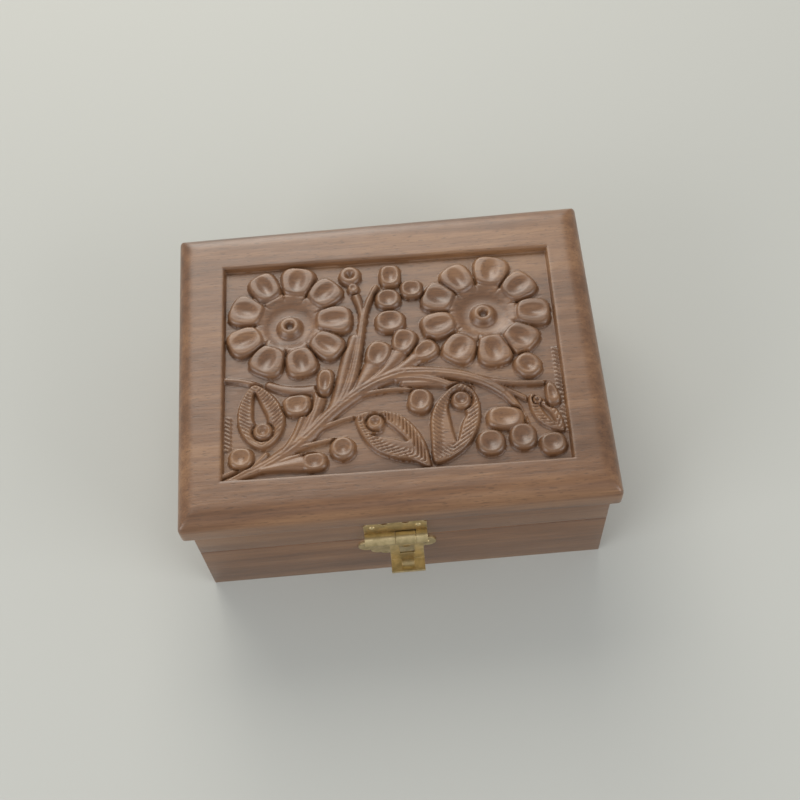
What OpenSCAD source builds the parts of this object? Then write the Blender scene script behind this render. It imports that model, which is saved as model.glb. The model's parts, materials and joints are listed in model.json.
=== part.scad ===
// Small hardwood box with a carved, moulded lid, two brass butt hinges and a brass hasp.
// The origin is the middle of the underside. +Z is up, +X runs to the right, -Y is the front.

/* [Box] */
// Width of the body, side to side
body_w = 144; // [136:1:170]
// Depth of the body, front to back
body_d = 113; // [105:1:130]
// Height of the tray walls
tray_h = 30; // [29:0.5:36]
// Height of the walls under the lid board
rim_h = 18.8; // [18.5:0.1:26]
// Thickness of every wall board
wall_t = 8; // [7.5:0.5:9]
// Thickness of the bottom board
base_t = 6; // [4:0.5:8]
// Gap between the lid and the tray when shut
seam_gap = 0.2; // [0.1:0.05:0.3]

/* [Lid board] */
// Thickness of the lid board
board_t = 11; // [10:0.5:13]
// Overhang of the lid board past the walls
board_over = 3; // [2:0.5:3.5]
// Width of the rounded moulding round the top
mould_w = 7; // [5:0.5:7.5]
// Drop of that moulding
mould_drop = 5; // [4:0.5:6.5]

/* [Carving] */
// Width of the sunk panel
panel_w = 119; // [112:1:120]
// Depth of the sunk panel, front to back
panel_d = 86; // [82:1:86]
// How far the hand-cut panel is turned out of square, in degrees
panel_turn = -1.2; // [-1.2:0.1:1.2]
// How far the ground is cut down
ground_cut = 3; // [2.4:0.1:3.4]
// Height of the petals above the ground
petal_rise = 2.3; // [1.6:0.1:2.3]
// Height of the stems above the ground
stem_rise = 1.5; // [1:0.1:1.6]
// Height of the leaves above the ground
leaf_rise = 2; // [1.4:0.1:2.2]

/* [Hinges] */
// Distance of each hinge from the middle
hinge_x = 42; // [34:1:46]
// Length of a hinge along its pin
hinge_len = 20; // [18:1:24]
// Height of one leaf
leaf_h = 11; // [10:0.5:12]
// Thickness of the leaf brass
leaf_t = 0.9; // [0.8:0.1:1]
// Outer radius of the knuckles
knuckle_r = 1.9; // [1.8:0.05:2]
// Radius of the hinge pin
hinge_pin_r = 0.8; // [0.7:0.05:0.9]

/* [Hasp] */
// Place of the hasp, right of the middle
hasp_x = -2.5; // [-6:0.5:6]
// Length of the hasp's barrel
barrel_len = 22; // [21:0.5:24]
// Outer radius of the hasp's knuckles
barrel_r = 2.4; // [2.2:0.05:2.5]
// Radius of the hasp's pin
hasp_pin_r = 0.8; // [0.7:0.05:0.9]
// Thickness of the hasp brass
plate_t = 0.8; // [0.7:0.1:0.9]
// Width of the swinging tongue
tongue_w = 12; // [10:0.2:12]
// How far the tongue sits right of the hasp's middle
tongue_x = 3.3; // [0:0.1:3.3]
// Lean of the tongue away from the box before it is pressed home, in degrees
tongue_lean = 10; // [9:0.5:12]

/* [Hidden] */
$fn = 64;
// Running clearance of the pins, on the radius
fit = 0.05;
// Gap between neighbouring knuckles
knuckle_gap = 0.2;
// Free room round a knuckle in the leaf behind it, and how deep a leaf runs into its own knuckle
room = 0.3;
// How far a cutter stands past the face that it cuts
past = 1;
lid_z = tray_h + seam_gap;
board_z = lid_z + rim_h;
top_z = board_z + board_t;
ground_z = top_z - ground_cut;
board_w = body_w + 2 * board_over;
board_d = body_d + 2 * board_over;
// The middle of the panel lies a little off the middle of the lid
panel_shift = [1, -1.3];

// Free space between a hinge's knuckles and the back of the box
knuckle_clear = 0.25;
axis_y = body_d / 2 + knuckle_r + knuckle_clear;
axis_z = tray_h + seam_gap / 2;
hinge_knuckle = (hinge_len - 2 * knuckle_gap) / 3;
screw_r = 0.9;
screw_head_r = 1.8;
screw_len = 6.3;
slot_w = 0.4;
slot_deep = 0.35;
screw_x = hinge_len / 2 - 4;
screw_drop = 7;

hasp_axis_out = barrel_r + 0.3;
hasp_axis_z = lid_z + 4.8;
mid_knuckle = 7;
nail_r = 0.55;
nail_head_r = 1.15;
nail_head_h = 0.6;
nail_len = 6;
// How far a nail's shank runs up into its head
nail_neck = 0.5;
lid_plate_top = hasp_axis_z + 9.6;
lobe_r = 3.5;
lid_nail = [8, hasp_axis_z + 6];
tray_nail = [10.6, tray_h - 5.4];
tray_plate_top = tray_h - 1.6;
tray_plate_w = 15;
plate_foot = 6;
// Pressed home, the tongue's sheet lies just clear of the tray plate, and the stud comes through it
home_gap = 0.25;
sheet_back = hasp_axis_out - 1.5 * plate_t - home_gap;
stud_z = hasp_axis_z - 9.3;
stud_r = 1.4;
stud_len = 2 * plate_t + home_gap + 0.5;
rivet_r = 0.9;
rivet_depth = 2.8;
// How much deeper the rivet's hole is than the rivet
rivet_spare = 0.2;
window_size = 5.2;
tongue_drop = 15.5;
cup_r = 3;
cup_hollow = 4.6;
// Lobes of the tray plate, alike on both sides: x, z, radius
tray_lobes = [
    [tray_nail[0], tray_nail[1], 3.3], [7.4, tray_nail[1] + 2, 2.2], [7.2, tray_nail[1] - 3.9, 2.4],
    [4, stud_z - 6.6, 2.2], [0, stud_z - 7.6, 3]
];

// Carving layout, in millimetres from the middle of a panel of this size
layout_w = 118;
layout_d = 86;
// Flowers: middle x, middle y, turn of the first petal
flowers = [[-35.6, 18.2, -1], [33.9, 17.6, -4]];
petals = 9;
petal_ring = 17.2;
petal_r = 5.5;
boss_r = 4.4;
// The eye drilled in the middle of a flower: its radius and the height of its floor
eye_r = 1.1;
eye_floor = 1;
// How far the standing parts run down into the ground
root = 0.5;
pad_slope = 0.9;
scoop_cut = 1.3;
// Share of a leaf's length and of its width that its slot takes
slot_share = [0.55, 0.42];
// Share of its width that a stem loses from its foot to its tip
stem_taper = 0.6;
// Buds: x, y, radius
buds = [
    [-13.4, 37.2, 4], [1.2, 35.4, 4.8], [8.9, 28.4, 3.9], [-0.4, 25.2, 4.3], [-0.5, 15.8, 4.8],
    [-4.2, 3, 4.8], [5, 8.2, 4.6], [12.6, 2.2, 4.1], [-23.8, -5.6, 3.4], [-33.4, -15, 4.8],
    [-52.2, -34.6, 4], [-27.2, -36.4, 4.4], [-18, -33, 4.4], [9.2, -16.6, 3.8], [37.6, -25.4, 4.8],
    [31.4, -35, 4.8], [42.8, -33.2, 5], [53.2, -37, 4], [47, -6.4, 5.4]
];
// Leaves: x, y, length, width, turn
leaves = [
    [-45.5, -19.5, 25, 14.5, 97], [-1.5, -32, 30, 13.5, -42], [18.5, -26, 32, 14.5, 70],
    [52.3, -19.5, 16, 7, 118]
];
// Stems: four steering points of a curve, then its width
stems = [
    [[-57, -41], [-32, -34], [-26, -7], [2, -5.5], 4.4],
    [[-30, -24.5], [-14, -12], [-12, 8], [-6, 32], 3.8],
    [[-6, -7.5], [10, -2], [30, -5], [50, -11.5], 2.8],
    [[2, -5.5], [22, -5], [36, -10], [41, -21], 3],
    [[-56, -42], [-36, -38], [-26, -27], [-12, -21.5], 2],
    [[-42, -35.5], [-30, -30], [-24, -28], [-15, -31], 1.8],
    [[-13, -11], [-4, -6], [4, -3], [12, 1], 2],
    [[-38, -32], [-33, -26], [-29, -20], [-24, -6], 2]
];

function spot(p) = [p[0] * panel_w / layout_w, p[1] * panel_d / layout_d];
function curve(s, t) =
    pow(1 - t, 3) * spot(s[0]) + 3 * t * pow(1 - t, 2) * spot(s[1])
    + 3 * t * t * (1 - t) * spot(s[2]) + pow(t, 3) * spot(s[3]);
function along(s, t) =
    let (v = curve(s, t + 0.01) - curve(s, t - 0.01)) v / norm(v);
// Half section of the lid board: u runs in from the edge, v runs up
function moulding() = [
    for (a = [0:15:90]) [mould_w * (1 - sin(a)), board_t - mould_drop * (1 - cos(a))]
];

// Places its children where the panel is cut, on the lid
module at_panel() {
    translate([panel_shift[0], panel_shift[1], ground_z]) rotate(panel_turn) children();
}

// A dome of base radius r that stands h above z = 0
module dome(r, h) {
    ball = (r * r + h * h) / (2 * h);
    translate([0, 0, h - ball]) sphere(ball);
}

// A round pad with sloping sides and a scooped middle, as each petal and bud is cut
module pad(r, h) {
    scoop = 1.2 * r;
    difference() {
        translate([0, 0, -root]) cylinder(r1 = r, r2 = r - pad_slope, h = h + root);
        translate([0, 0, h - scoop_cut + scoop]) sphere(scoop);
    }
}

module flower(turn) {
    for (i = [0:petals - 1]) rotate(turn + i * 360 / petals) translate([petal_ring, 0]) children();
}

// A pointed leaf outline, long along X
module leaf_outline(len, wid) {
    r = (len * len + wid * wid) / (4 * wid);
    intersection() {
        translate([0, r - wid / 2]) circle(r);
        translate([0, wid / 2 - r]) circle(r);
    }
}

module stem_outline(s) {
    steps = 10;
    function edge_point(i, side) =
        let (t = i / steps, v = along(s, t), half = s[4] * (1 - stem_taper * t) / 2)
            curve(s, t) + side * half * [-v[1], v[0]];
    polygon(concat(
        [for (i = [0:steps]) edge_point(i, 1)],
        [for (i = [steps:-1:0]) edge_point(i, -1)]
    ));
}

// All that the carver leaves standing, on a ground at z = 0
module relief() {
    for (f = flowers) translate(spot(f)) {
        flower(f[2]) pad(petal_r, petal_rise);
        intersection() {
            difference() {
                dome(boss_r, petal_rise);
                translate([0, 0, eye_floor]) cylinder(r = eye_r, h = petal_rise);
            }
            translate([0, 0, -root]) cylinder(r = boss_r + past, h = ground_cut);
        }
    }
    for (b = buds) translate(spot(b)) pad(b[2], petal_rise);
    translate([0, 0, -root]) {
        for (l = leaves) translate(spot(l)) rotate(l[4]) linear_extrude(leaf_rise + root) difference() {
            leaf_outline(l[2], l[3]);
            leaf_outline(l[2] * slot_share[0], l[3] * slot_share[1]);
        }
        for (s = stems) linear_extrude(stem_rise + root) stem_outline(s);
    }
}

// One board standing on the xy plane, its near left corner at the origin
module board(size) {
    color("#7d5640") cube(size);
}

// A hole for each screw of both hinges, running forward from the back face
module screw_holes(z) {
    for (side = [-1, 1], x = [-screw_x, screw_x])
        translate([side * hinge_x + x, body_d / 2 - screw_len, z]) rotate([-90, 0, 0])
            cylinder(r = screw_r + fit, h = screw_len + past);
}

// Places its children on the front face, with local y pointing away from the box
module at_front() {
    translate([hasp_x, -body_d / 2, 0]) mirror([0, 1, 0]) children();
}

// A hole for each of a pair of nails in the front face
module nail_holes(spot) {
    at_front() for (side = [-1, 1]) translate([side * spot[0], -nail_len, spot[1]]) rotate([-90, 0, 0])
        cylinder(r = nail_r + fit, h = nail_len + past);
}

// A hole for the shank of the hasp's stud
module rivet_hole() {
    at_front() translate([tongue_x, -rivet_depth - rivet_spare, stud_z]) rotate([-90, 0, 0])
        cylinder(r = rivet_r + fit, h = rivet_depth + rivet_spare + plate_t + past);
}

module tray_front_board() {
    difference() {
        translate([-body_w / 2, -body_d / 2, 0]) board([body_w, wall_t, tray_h]);
        nail_holes(tray_nail);
        rivet_hole();
    }
}

module tray_back_board() {
    difference() {
        translate([-body_w / 2, body_d / 2 - wall_t, 0]) board([body_w, wall_t, tray_h]);
        screw_holes(axis_z - screw_drop);
    }
}

module tray_side(side) {
    translate([side * (body_w - wall_t) / 2 - wall_t / 2, -body_d / 2 + wall_t, 0])
        board([wall_t, body_d - 2 * wall_t, tray_h]);
}

module tray_left_board() { tray_side(-1); }

module tray_right_board() { tray_side(1); }

module bottom_board() {
    translate([-body_w / 2 + wall_t, -body_d / 2 + wall_t, 0])
        board([body_w - 2 * wall_t, body_d - 2 * wall_t, base_t]);
}

module lid_front_rim() {
    difference() {
        translate([-body_w / 2, -body_d / 2, lid_z]) board([body_w, wall_t, rim_h]);
        nail_holes(lid_nail);
    }
}

module lid_back_rim() {
    difference() {
        translate([-body_w / 2, body_d / 2 - wall_t, lid_z]) board([body_w, wall_t, rim_h]);
        screw_holes(axis_z + screw_drop);
    }
}

module lid_side(side) {
    translate([side * (body_w - wall_t) / 2 - wall_t / 2, -body_d / 2 + wall_t, lid_z])
        board([wall_t, body_d - 2 * wall_t, rim_h]);
}

module lid_left_rim() { lid_side(-1); }

module lid_right_rim() { lid_side(1); }

// Section through the lid board, its whole width long
module lid_section(width) {
    edge = moulding();
    polygon(concat(
        [[-width / 2, 0]],
        [for (i = [len(edge) - 1:-1:0]) [-width / 2 + edge[i][0], edge[i][1]]],
        [for (p = edge) [width / 2 - p[0], p[1]]],
        [[width / 2, 0]]
    ));
}

module lid_board() {
    color("#86604b") union() {
        difference() {
            translate([0, 0, board_z]) intersection() {
                translate([-board_w / 2, 0, 0]) rotate([90, 0, 90])
                    linear_extrude(board_w) lid_section(board_d);
                translate([0, board_d / 2, 0]) rotate([90, 0, 0])
                    linear_extrude(board_d) lid_section(board_w);
            }
            at_panel() translate([-panel_w / 2, -panel_d / 2, 0]) cube([panel_w, panel_d, board_t]);
        }
        at_panel() relief();
    }
}

// One knuckle along X, from x0, with its bore
module knuckle(x0, length, r, bore) {
    translate([x0, 0, 0]) rotate([0, 90, 0]) difference() {
        cylinder(r = r, h = length);
        translate([0, 0, -past]) cylinder(r = bore, h = length + 2 * past);
    }
}

// A round groove that clears the other leaf's knuckle
module knuckle_room(x0, length, r) {
    translate([x0 - knuckle_gap, 0, 0]) rotate([0, 90, 0])
        cylinder(r = r + room, h = length + 2 * knuckle_gap);
}

// Leaf of a hinge in its own place. up is 1 for the lid's leaf and -1 for the tray's
module hinge_leaf(side, up) {
    outer = [-hinge_len / 2, hinge_len / 2 - hinge_knuckle];
    own = up > 0 ? [-hinge_knuckle / 2] : outer;
    others = up > 0 ? outer : [-hinge_knuckle / 2];
    bore = hinge_pin_r + (up > 0 ? fit : 0);
    color("#9c8a52") translate([side * hinge_x, axis_y, axis_z]) {
        difference() {
            translate([-hinge_len / 2, body_d / 2 - axis_y, up > 0 ? seam_gap : -seam_gap - leaf_h])
                cube([hinge_len, leaf_t, leaf_h]);
            for (x = others) knuckle_room(x, hinge_knuckle, knuckle_r);
            for (x = own) translate([x, 0, 0]) rotate([0, 90, 0])
                cylinder(r = knuckle_r - room, h = hinge_knuckle);
            for (x = [-screw_x, screw_x]) translate([x, body_d / 2 - axis_y, up * screw_drop])
                rotate([-90, 0, 0]) {
                    translate([0, 0, -past]) cylinder(r = screw_r + fit, h = leaf_t + 2 * past);
                    cylinder(r1 = screw_r + fit, r2 = screw_head_r + fit, h = leaf_t);
                }
        }
        for (x = own) knuckle(x, hinge_knuckle, knuckle_r, bore);
    }
}

module hinge_pin(side) {
    color("#8a7a48") translate([side * hinge_x - hinge_len / 2, axis_y, axis_z]) rotate([0, 90, 0])
        cylinder(r = hinge_pin_r, h = hinge_len);
}

module left_hinge_tray_leaf() { hinge_leaf(-1, -1); }

module left_hinge_lid_leaf() { hinge_leaf(-1, 1); }

module left_hinge_pin() { hinge_pin(-1); }

module right_hinge_tray_leaf() { hinge_leaf(1, -1); }

module right_hinge_lid_leaf() { hinge_leaf(1, 1); }

module right_hinge_pin() { hinge_pin(1); }

// A countersunk screw with a straight slot, its head flush with the leaf
module screw() {
    color("#a8955c") difference() {
        union() {
            translate([0, 0, -screw_len]) cylinder(r = screw_r, h = screw_len);
            cylinder(r1 = screw_r, r2 = screw_head_r, h = leaf_t);
        }
        translate([-screw_head_r - past, -slot_w / 2, leaf_t - slot_deep])
            cube([2 * (screw_head_r + past), slot_w, past]);
    }
}

module hinge_screws(z) {
    for (side = [-1, 1], x = [-screw_x, screw_x])
        translate([side * hinge_x + x, body_d / 2, z]) rotate([-90, 0, 0]) screw();
}

module tray_hinge_screws() { hinge_screws(axis_z - screw_drop); }

module lid_hinge_screws() { hinge_screws(axis_z + screw_drop); }

// Holes for a pair of nails through a hasp plate
module plate_holes(spot) {
    for (side = [-1, 1]) translate([side * spot[0], -past, spot[1]]) rotate([-90, 0, 0])
        cylinder(r = nail_r + fit, h = plate_t + 2 * past);
}

// Sheet brass on the front face, cut to a flat outline in x and z
module sheet() {
    translate([0, plate_t, 0]) rotate([90, 0, 0]) linear_extrude(plate_t) children();
}

// Start and length of the lid plate's knuckles, either side of the tongue's
function barrel_ends() = let (half = barrel_len / 2, clear = mid_knuckle / 2 + knuckle_gap) [
    [-half, tongue_x - clear + half],
    [tongue_x + clear, half - tongue_x - clear]
];

module hasp_lid_plate() {
    half = barrel_len / 2;
    color("#b39a5a") at_front() {
        difference() {
            sheet() {
                translate([-half, hasp_axis_z]) square([2 * half, lid_plate_top - hasp_axis_z - lobe_r / 2]);
                for (x = [lobe_r - half, 0, half - lobe_r]) translate([x, lid_plate_top - lobe_r])
                    circle(lobe_r);
            }
            plate_holes(lid_nail);
            translate([0, hasp_axis_out, hasp_axis_z]) {
                knuckle_room(tongue_x - mid_knuckle / 2, mid_knuckle, barrel_r);
                for (k = barrel_ends()) translate([k[0], 0, 0]) rotate([0, 90, 0])
                    cylinder(r = barrel_r - room, h = k[1]);
            }
        }
        translate([0, hasp_axis_out, hasp_axis_z])
            for (k = barrel_ends()) knuckle(k[0], k[1], barrel_r, hasp_pin_r);
    }
}

module hasp_pin() {
    color("#8a7a48") at_front() translate([-barrel_len / 2, hasp_axis_out, hasp_axis_z])
        rotate([0, 90, 0]) cylinder(r = hasp_pin_r, h = barrel_len);
}

// The swinging tongue: a knuckle, a flat with a window for the stud, and a cupped thumb piece
module hasp_tongue() {
    knuckle_foot = barrel_r + 1.5;
    behind = -sheet_back - plate_t / 2;
    color("#c4aa66") at_front() translate([tongue_x, hasp_axis_out, hasp_axis_z])
        rotate([tongue_lean, 0, 0]) {
            knuckle(-mid_knuckle / 2, mid_knuckle, barrel_r, hasp_pin_r + fit);
            difference() {
                union() {
                    translate([-mid_knuckle / 2, behind, -knuckle_foot])
                        cube([mid_knuckle, plate_t, knuckle_foot - sheet_back]);
                    translate([-tongue_w / 2, behind, -tongue_drop])
                        cube([tongue_w, plate_t, tongue_drop - knuckle_foot + past]);
                }
                rotate([0, 90, 0]) translate([0, 0, -mid_knuckle])
                    cylinder(r = barrel_r - room, h = 2 * mid_knuckle);
                translate([-window_size / 2, behind - past, stud_z - hasp_axis_z - window_size / 2])
                    cube([window_size, plate_t + 2 * past, window_size]);
            }
            translate([0, behind + cup_r, -tongue_drop]) rotate([0, 90, 0]) thumb_cup();
        }
}

// Half a pipe along z, open towards -x, with solid cheeks at both ends
module thumb_cup() {
    difference() {
        translate([0, 0, -tongue_w / 2]) cylinder(r = cup_r, h = tongue_w);
        translate([0, 0, -cup_hollow / 2]) cylinder(r = cup_r - plate_t, h = cup_hollow);
        translate([-2 * cup_r, -2 * cup_r, -tongue_w]) cube([2 * cup_r, 4 * cup_r, 2 * tongue_w]);
    }
}

module hasp_tray_plate() {
    color("#b39a5a") difference() {
        at_front() difference() {
            sheet() {
                translate([-tray_plate_w / 2, stud_z - plate_foot])
                    square([tray_plate_w, tray_plate_top - stud_z + plate_foot]);
                for (side = [-1, 1], l = tray_lobes) translate([side * l[0], l[1]]) circle(l[2]);
                translate([-tray_nail[0], tray_nail[1] - tray_lobes[0][2] / 2])
                    square([2 * tray_nail[0], tray_lobes[0][2]]);
            }
            plate_holes(tray_nail);
        }
        rivet_hole();
    }
}

// The stud that the tongue's window drops over, riveted through the tray plate
module hasp_stud() {
    neck = rivet_r + 0.2;
    color("#b39a5a") at_front() translate([tongue_x, 0, stud_z]) rotate([-90, 0, 0]) rotate_extrude()
        polygon([
            [0, -rivet_depth], [rivet_r, -rivet_depth], [rivet_r, plate_t], [neck, plate_t],
            [neck, stud_len - 0.55], [stud_r, stud_len - 0.4], [stud_r, stud_len - 0.2],
            [neck, stud_len - 0.02], [0, stud_len]
        ]);
}

// A pair of round-headed nails
module nails(spot) {
    color("#a8955c") at_front() for (side = [-1, 1]) translate([side * spot[0], 0, spot[1]])
        rotate([-90, 0, 0]) {
            translate([0, 0, nail_neck - nail_len]) cylinder(r = nail_r, h = nail_len + plate_t);
            translate([0, 0, plate_t]) intersection() {
                dome(nail_head_r, nail_head_h);
                cylinder(r = nail_head_r, h = nail_head_h);
            }
        }
}

module hasp_lid_nails() { nails(lid_nail); }

module hasp_tray_nails() { nails(tray_nail); }

tray_front_board();
tray_back_board();
tray_left_board();
tray_right_board();
bottom_board();
lid_board();
lid_front_rim();
lid_back_rim();
lid_left_rim();
lid_right_rim();
left_hinge_tray_leaf();
left_hinge_lid_leaf();
left_hinge_pin();
right_hinge_tray_leaf();
right_hinge_lid_leaf();
right_hinge_pin();
tray_hinge_screws();
lid_hinge_screws();
hasp_lid_plate();
hasp_lid_nails();
hasp_pin();
hasp_tongue();
hasp_tray_plate();
hasp_stud();
hasp_tray_nails();
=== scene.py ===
"""Looks of the small carved hardwood box: lacquered boards, a carved lid, brass hinges and a brass hasp.

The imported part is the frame. The boards and the lid are remade here with eased edges, grain and
carving. The brass keeps its shape and is dressed, and most of it has its edges broken. Sizes are in
millimetres until a mesh is made, and come from the frame's own boxes wherever the frame has them.
"""

import json
import logging
import math
from dataclasses import dataclass, field
from enum import Enum

import bmesh
import bpy
import numpy as np
from mathutils import Matrix, Vector


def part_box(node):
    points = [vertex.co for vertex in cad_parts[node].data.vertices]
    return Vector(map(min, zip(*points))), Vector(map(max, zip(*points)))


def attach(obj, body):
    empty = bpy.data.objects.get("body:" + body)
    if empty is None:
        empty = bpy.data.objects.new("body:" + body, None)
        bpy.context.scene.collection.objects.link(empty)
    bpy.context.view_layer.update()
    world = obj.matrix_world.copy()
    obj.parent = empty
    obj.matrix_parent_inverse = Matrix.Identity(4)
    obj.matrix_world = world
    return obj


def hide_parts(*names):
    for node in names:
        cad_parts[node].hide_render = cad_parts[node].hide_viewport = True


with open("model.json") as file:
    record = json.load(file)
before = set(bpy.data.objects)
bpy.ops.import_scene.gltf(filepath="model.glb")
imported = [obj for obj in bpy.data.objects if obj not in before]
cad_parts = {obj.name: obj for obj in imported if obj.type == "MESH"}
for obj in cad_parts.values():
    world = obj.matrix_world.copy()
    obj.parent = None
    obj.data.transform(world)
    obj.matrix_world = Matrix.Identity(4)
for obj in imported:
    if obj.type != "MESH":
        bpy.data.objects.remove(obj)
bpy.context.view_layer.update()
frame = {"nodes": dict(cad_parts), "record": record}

MM = 0.001
LOG = logging.getLogger("carved_box")
# Lower than any form, for places that a form doesn't reach
NOWHERE = -9.0


# Shared helpers


def linear(colour: str) -> tuple[float, float, float, float]:
    """Turn an sRGB hex colour into the linear colour that a shader takes.

    Args:
        colour: six hex digits with a leading hash.

    Returns:
        Red, green, blue and an alpha of one.
    """
    parts = [int(colour[i:i + 2], 16) / 255 for i in (1, 3, 5)]
    return tuple(v / 12.92 if v <= 0.04045 else ((v + 0.055) / 1.055) ** 2.4 for v in parts) + (1.0,)


def feed(tree: bpy.types.NodeTree, node: bpy.types.Node, inputs: dict) -> None:
    """Set a node's inputs: a value is written in, and an output socket is linked.

    Args:
        tree: the node tree.
        node: the node.
        inputs: socket name or number, to a value or to the output socket that feeds it.
    """
    for name, value in inputs.items():
        if isinstance(value, bpy.types.NodeSocket):
            tree.links.new(value, node.inputs[name])
        else:
            node.inputs[name].default_value = value


def add_node(tree: bpy.types.NodeTree, kind: str, inputs: dict | None = None,
             stops: list | None = None, **settings: object) -> bpy.types.Node:
    """Add one node with its settings, values and links.

    Args:
        tree: the node tree that gets the node.
        kind: the node's type name.
        inputs: socket name or number, to a value or to the output socket that feeds it.
        stops: for a colour ramp, its (position, colour) pairs.
        settings: properties of the node itself.

    Returns:
        The new node.
    """
    node = tree.nodes.new(kind)
    for name, value in settings.items():
        setattr(node, name, value)
    feed(tree, node, inputs or {})
    if stops:
        ramp = node.color_ramp
        while len(ramp.elements) < len(stops):
            ramp.elements.new(1.0)
        for element, (position, colour) in zip(ramp.elements, stops):
            element.position = position
            element.color = colour
    return node


def start_material(name: str) -> tuple[bpy.types.Material, bpy.types.Node, bpy.types.NodeSocket]:
    """Start a material.

    Args:
        name: the material's name.

    Returns:
        The material, its shader, and the socket that gives places on the piece, in metres.
    """
    mat = bpy.data.materials.new(name)
    mat.use_nodes = True
    where = add_node(mat.node_tree, "ShaderNodeTexCoord").outputs["Object"]
    return mat, mat.node_tree.nodes["Principled BSDF"], where


def smooth(low: float, high: float, value: np.ndarray) -> np.ndarray:
    """Ease from 0 at low to 1 at high, flat at both ends (the cubic 3t² − 2t³)."""
    t = np.clip((value - low) / (high - low), 0, 1)
    return t * t * (3 - 2 * t)


def blurred(height: np.ndarray, reach: float) -> np.ndarray:
    """Blur a height field with a bell curve along both axes.

    Args:
        height: heights on a grid.
        reach: standard deviation of the bell, in grid steps.

    Returns:
        The blurred heights, edges repeated outwards.
    """
    half = max(1, int(3 * reach))
    bell = np.exp(-0.5 * (np.arange(-half, half + 1) / reach) ** 2)
    bell /= bell.sum()
    out = height
    for axis in (0, 1):
        pads = [(half, half) if a == axis else (0, 0) for a in (0, 1)]
        wide = np.pad(out, pads, mode="edge")
        size = out.shape[axis]
        out = sum(w * np.take(wide, np.arange(i, i + size), axis=axis) for i, w in enumerate(bell))
    return out


def noise_field(x: np.ndarray, y: np.ndarray, size: float, seed: int) -> np.ndarray:
    """Smooth random unevenness, from −1 to 1: cubic easing between random values on a lattice.

    Args:
        x, y: places in millimetres.
        size: lattice spacing in millimetres.
        seed: seed of the random values.

    Returns:
        One value for each place.
    """
    values = np.random.default_rng(seed).uniform(-1, 1, (64, 64))
    u, v = x / size + 100, y / size + 100
    i, j = np.floor(u).astype(int), np.floor(v).astype(int)
    s, t = smooth(0, 1, u - i), smooth(0, 1, v - j)
    corner = [[values[(i + a) % 64, (j + b) % 64] for b in (0, 1)] for a in (0, 1)]
    return ((corner[0][0] * (1 - s) + corner[1][0] * s) * (1 - t)
            + (corner[0][1] * (1 - s) + corner[1][1] * s) * t)


def grid_faces(rows: int, columns: int, first: int = 0, closed: bool = False) -> np.ndarray:
    """Four-cornered faces of a grid of points that are numbered row by row.

    Args:
        rows, columns: points each way.
        first: number of the grid's first point.
        closed: whether the last column joins the first.

    Returns:
        An array of corner numbers, one row of four for each face.
    """
    r = np.arange(rows - 1)[:, None]
    c = np.arange(columns if closed else columns - 1)[None, :]
    nxt = (c + 1) % columns
    corners = [r * columns + c, r * columns + nxt, (r + 1) * columns + nxt, (r + 1) * columns + c]
    return np.stack(np.broadcast_arrays(*corners), axis=-1).reshape(-1, 4) + first


def new_piece(name: str, points: np.ndarray, faces: list[np.ndarray], material: bpy.types.Material,
              sharp: float | None = 40.0) -> bpy.types.Object:
    """Make a mesh object from points in millimetres.

    Args:
        name: the piece's name.
        points: places, three numbers a row.
        faces: arrays of corner numbers, each with its own corner count.
        material: what the piece is made of.
        sharp: angle in degrees past which an edge stays sharp, or None for flat faces.

    Returns:
        The object, at the origin, its place in its mesh.
    """
    mesh = bpy.data.meshes.new(name)
    corners = np.concatenate([f.ravel() for f in faces]).astype(np.int32)
    counts = np.concatenate([np.full(len(f), f.shape[1]) for f in faces]).astype(np.int32)
    mesh.vertices.add(len(points))
    mesh.vertices.foreach_set("co", (np.asarray(points, dtype=np.float32) * MM).ravel())
    mesh.loops.add(len(corners))
    mesh.loops.foreach_set("vertex_index", corners)
    mesh.polygons.add(len(counts))
    starts = np.concatenate([[0], np.cumsum(counts)[:-1]]).astype(np.int32)
    mesh.polygons.foreach_set("loop_start", starts)
    mesh.update(calc_edges=True)
    mesh.validate()
    mesh.materials.append(material)
    piece = bpy.data.objects.new(name, mesh)
    bpy.context.scene.collection.objects.link(piece)
    if sharp is not None:
        mesh.shade_smooth()
        mesh.set_sharp_from_angle(angle=math.radians(sharp))
    return piece


def place(piece: bpy.types.Object, body: str, node: str, slot: str) -> None:
    """Let a piece stand for a node of the frame and move with its body.

    Args:
        piece: the piece.
        body: the body that it moves with.
        node: the node that it stands for.
        slot: its material slot, not used.
    """
    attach(piece, body)
    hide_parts(node)


def box_mm(node: str) -> tuple[np.ndarray, np.ndarray]:
    """Lowest and highest corner of a node of the frame, in millimetres."""
    low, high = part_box(node)
    return np.array(low) / MM, np.array(high) / MM


# Finishes


class Grain(Enum):
    """Which way the fibres of a board run."""

    ALONG_X = 0.0
    ALONG_Y = math.pi / 2


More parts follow.
